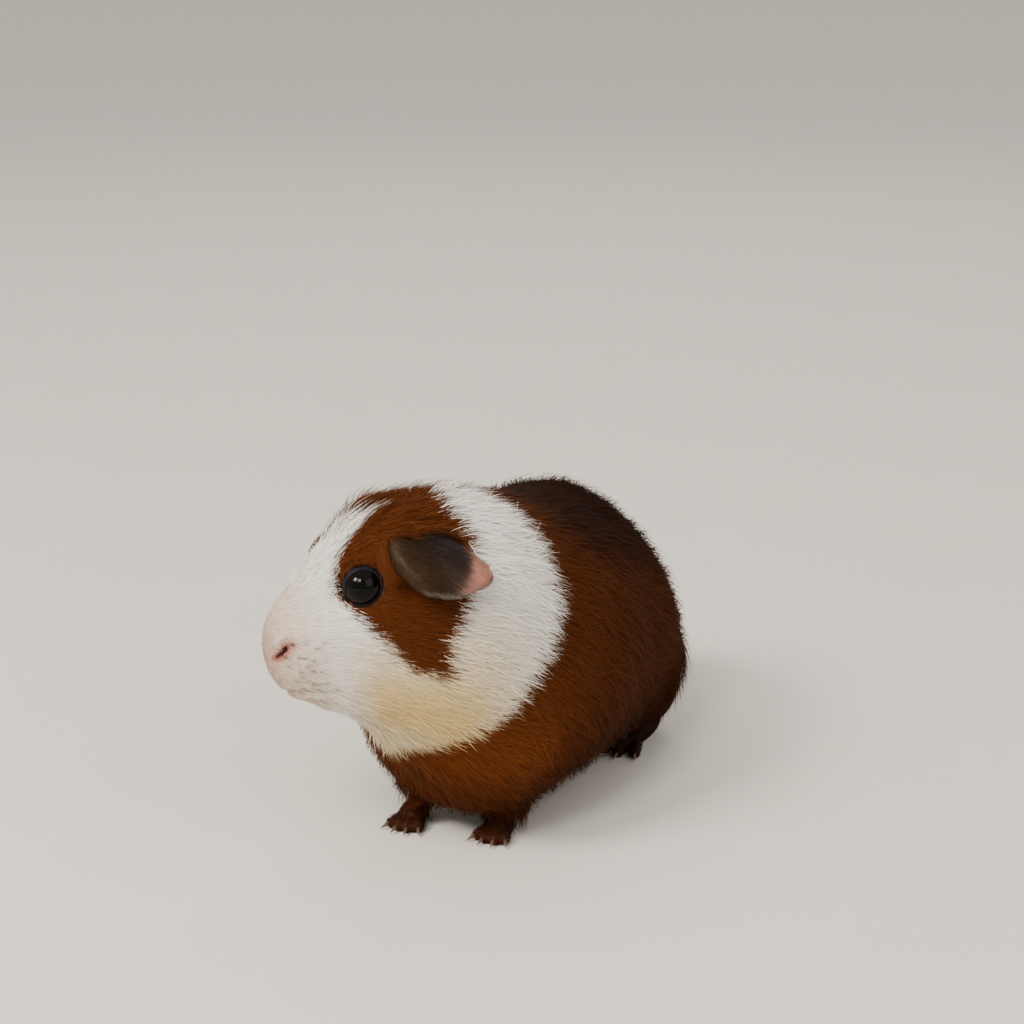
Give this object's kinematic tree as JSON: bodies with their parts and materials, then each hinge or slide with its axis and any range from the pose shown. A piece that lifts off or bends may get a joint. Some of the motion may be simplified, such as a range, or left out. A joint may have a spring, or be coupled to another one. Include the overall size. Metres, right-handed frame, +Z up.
{
  "type": "guinea pig",
  "caption": "Life-size guinea pig standing still with its head turned to its right: smooth-coated, with a white blaze, muzzle and collar and a red-brown body.",
  "frame": {"origin": "middle of the bounding box's base, on the floor under the feet", "axes": "+Z up, +Y toward the rump along the trunk, +X toward the animal's left"},
  "size_m": [0.0822, 0.1666, 0.1032],
  "materials": {
    "face_coat": "short smooth hair, white with red-brown patches over the eyes and ears",
    "collar_coat": "smooth white hair of medium length",
    "body_coat": "smooth red-brown hair with a soft shine",
    "leg_coat": "short red-brown hair",
    "foot_skin": "bare dark skin with very short hair",
    "ear_skin": "thin dark skin, pink at the hind tip",
    "eye": "wet black shine",
    "claw": "dark horn"
  },
  "bodies": {
    "root": {"head": "face_coat", "neck": "collar_coat", "trunk": "body_coat", "ear_left": "ear_skin", "eye_left": "eye", "foreleg_left": "leg_coat", "hindleg_left": "leg_coat", "forefoot_left": "foot_skin", "hindfoot_left": "foot_skin", "claw_fore_left_1": "claw", "claw_fore_left_2": "claw", "claw_fore_left_3": "claw", "claw_fore_left_4": "claw", "claw_hind_left_1": "claw", "claw_hind_left_2": "claw", "claw_hind_left_3": "claw", "ear_right": "ear_skin", "eye_right": "eye", "foreleg_right": "leg_coat", "hindleg_right": "leg_coat", "forefoot_right": "foot_skin", "hindfoot_right": "foot_skin", "claw_fore_right_1": "claw", "claw_fore_right_2": "claw", "claw_fore_right_3": "claw", "claw_fore_right_4": "claw", "claw_hind_right_1": "claw", "claw_hind_right_2": "claw", "claw_hind_right_3": "claw"}
  },
  "joints": []
}
